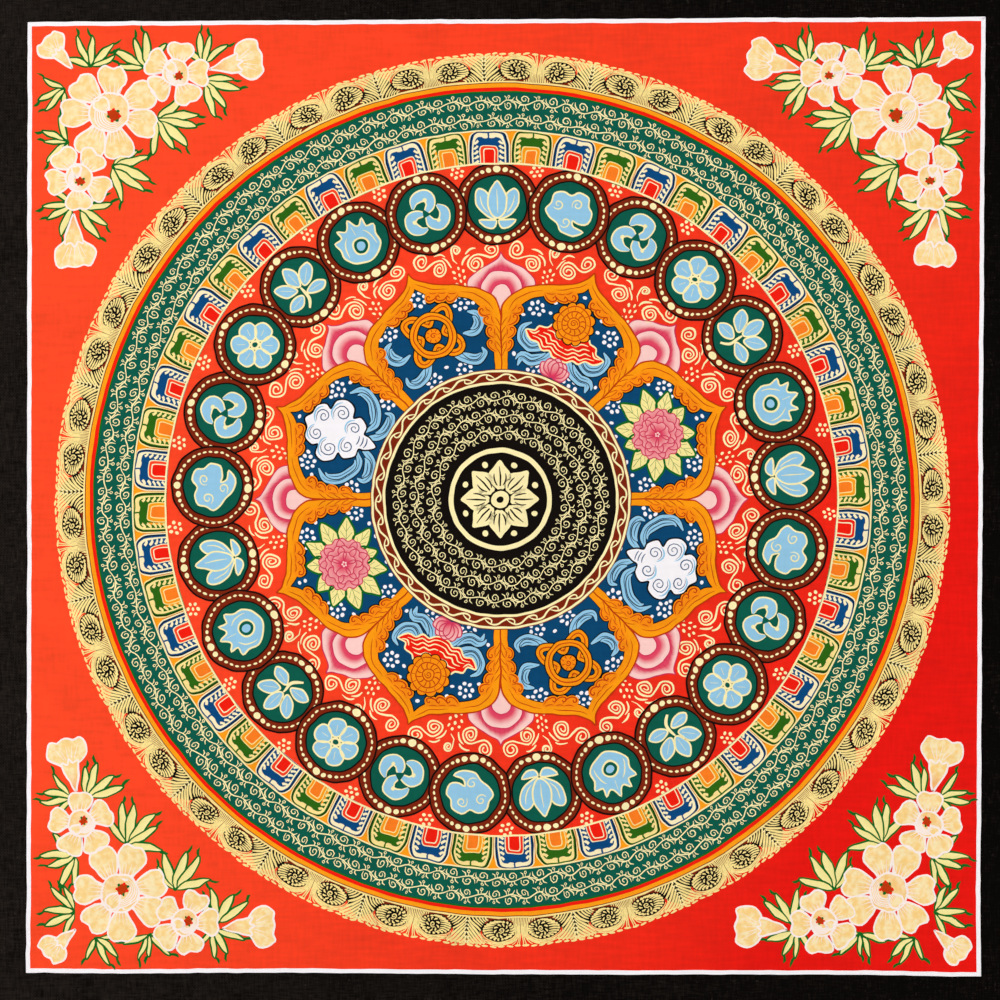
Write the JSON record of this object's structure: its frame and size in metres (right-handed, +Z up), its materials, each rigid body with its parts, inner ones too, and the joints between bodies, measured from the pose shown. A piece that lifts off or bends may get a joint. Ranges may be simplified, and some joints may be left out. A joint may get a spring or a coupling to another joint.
{
  "type": "thangka scroll painting",
  "caption": "Square painted cotton hanging: ring borders and a lotus on a red ground with corner flower sprays, inside a black cloth margin.",
  "frame": {"origin": "middle of the top edge of the cloth, at the middle of its thickness", "axes": "+Z up along the hang, +X to the viewer's right, the painted face looks along -Y"},
  "size_m": [0.5577, 0.0092, 0.5616],
  "materials": {
    "canvas": "primed plain-weave cotton, black margin",
    "red_paint": "matte vermilion gouache on cotton",
    "gold_paint": "cream-gold paint with a faint sheen",
    "green_paint": "matte dark green gouache",
    "blue_paint": "matte deep blue gouache",
    "orange_paint": "matte orange gouache with red-brown line",
    "pink_paint": "matte pink gouache shaded in bands",
    "white_paint": "matte white gouache line",
    "dark_paint": "matte maroon and black gouache"
  },
  "bodies": {
    "root": {"painted_cloth": "canvas"}
  },
  "joints": []
}
